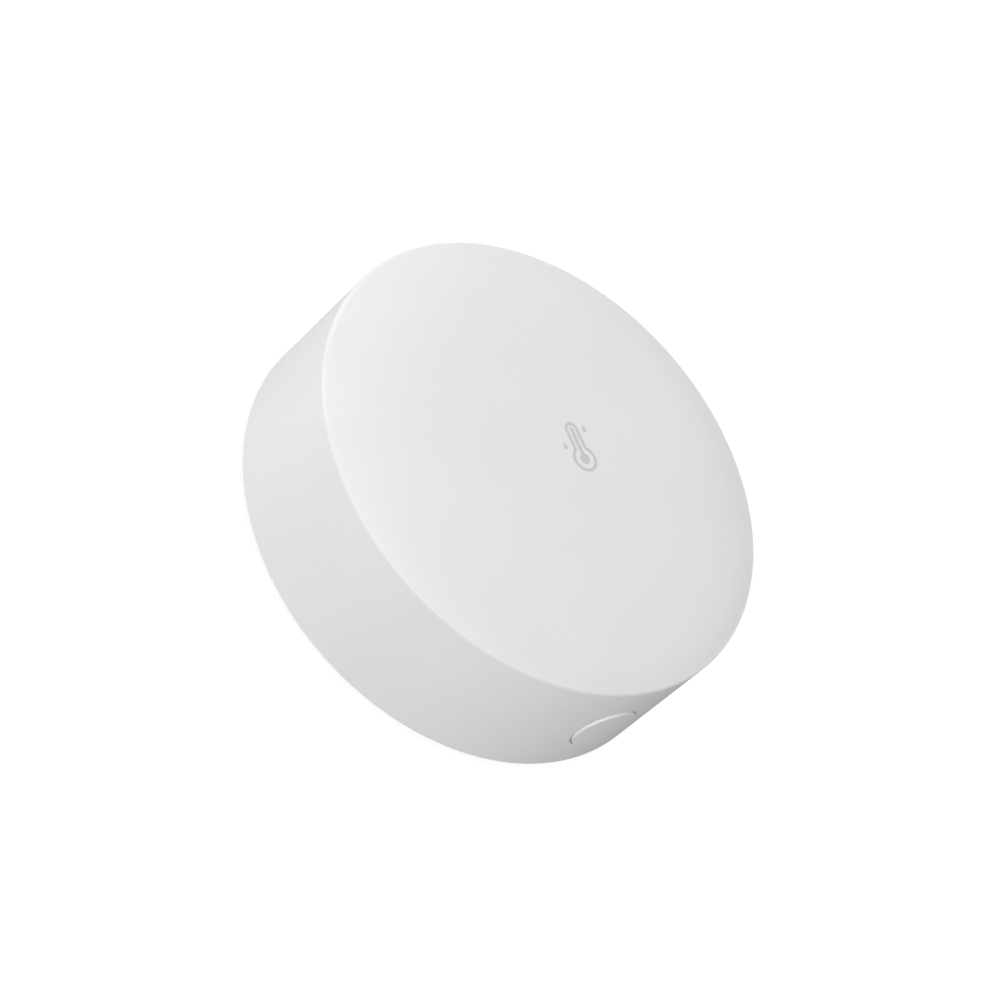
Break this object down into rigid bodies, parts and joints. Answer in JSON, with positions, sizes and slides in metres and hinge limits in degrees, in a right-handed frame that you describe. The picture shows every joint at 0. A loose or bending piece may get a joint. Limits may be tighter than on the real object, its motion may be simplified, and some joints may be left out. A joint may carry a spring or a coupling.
{
  "type": "temperature humidity sensor",
  "caption": "Round white puck with a domed face, a side push button, air slots and a twist-off rear cover; measures room temperature and humidity and reports by radio.",
  "frame": {"origin": "centre of the adhesive pad's free face, at the back of the puck", "axes": "+Z out of the domed face, -Y towards the push button (6 o'clock), +X to the right seen from the front"},
  "size_m": [0.06, 0.0604, 0.0231],
  "materials": {
    "shell_plastic": "fine moulded satin, white",
    "button_plastic": "fine moulded satin, white",
    "pad_foam": "closed-cell adhesive foam, grey",
    "tray_plastic": "moulded, pale grey",
    "board_laminate": "solder mask, green",
    "cell_sleeve": "printed sleeve, plain dark grey",
    "contact_nickel": "nickel-plated sheet",
    "spring_wire": "nickel-plated spring wire",
    "switch_plastic": "moulded, black",
    "tin_sheet": "tinned sheet",
    "chip_resin": "moulded resin, black",
    "chip_ceramic": "fired ceramic, tan",
    "antenna_ceramic": "fired ceramic, white",
    "led_resin": "clear resin on white",
    "can_metal": "drawn can",
    "screw_steel": "zinc-plated"
  },
  "bodies": {
    "base": {"rear_cover": "shell_plastic", "adhesive_pad": "pad_foam"},
    "housing": {"front_housing": "shell_plastic", "battery_tray": "tray_plastic", "circuit_board": "board_laminate", "battery_1": "cell_sleeve", "battery_2": "cell_sleeve", "positive_contact": "contact_nickel", "negative_contact": "contact_nickel", "bridge_contact": "contact_nickel", "negative_spring": "spring_wire", "bridge_spring": "spring_wire", "switch_body": "switch_plastic", "switch_frame": "tin_sheet", "radio_module": "board_laminate", "radio_chip": "chip_resin", "radio_shield": "tin_sheet", "chip_antenna": "antenna_ceramic", "clock_crystal": "tin_sheet", "climate_chip": "chip_resin", "status_led": "led_resin", "buffer_capacitor": "can_metal", "chip_capacitors": "chip_ceramic", "chip_resistors": "chip_resin", "tray_screws": "screw_steel"},
    "button": {"button_cap": "button_plastic", "switch_plunger": "switch_plastic"}
  },
  "joints": [
    {"name": "housing_twist", "type": "hinge", "parent": "base", "child": "housing", "pos_m": [0, 0, 0], "axis": [0, 0, 1], "range_deg": [0, 20]},
    {"name": "button_press", "type": "slide", "parent": "housing", "child": "button", "axis": [0, 1, 0], "range_m": [0, 0.0004], "stiffness_N_per_m": 2000, "springref_m": -0.0004}
  ]
}
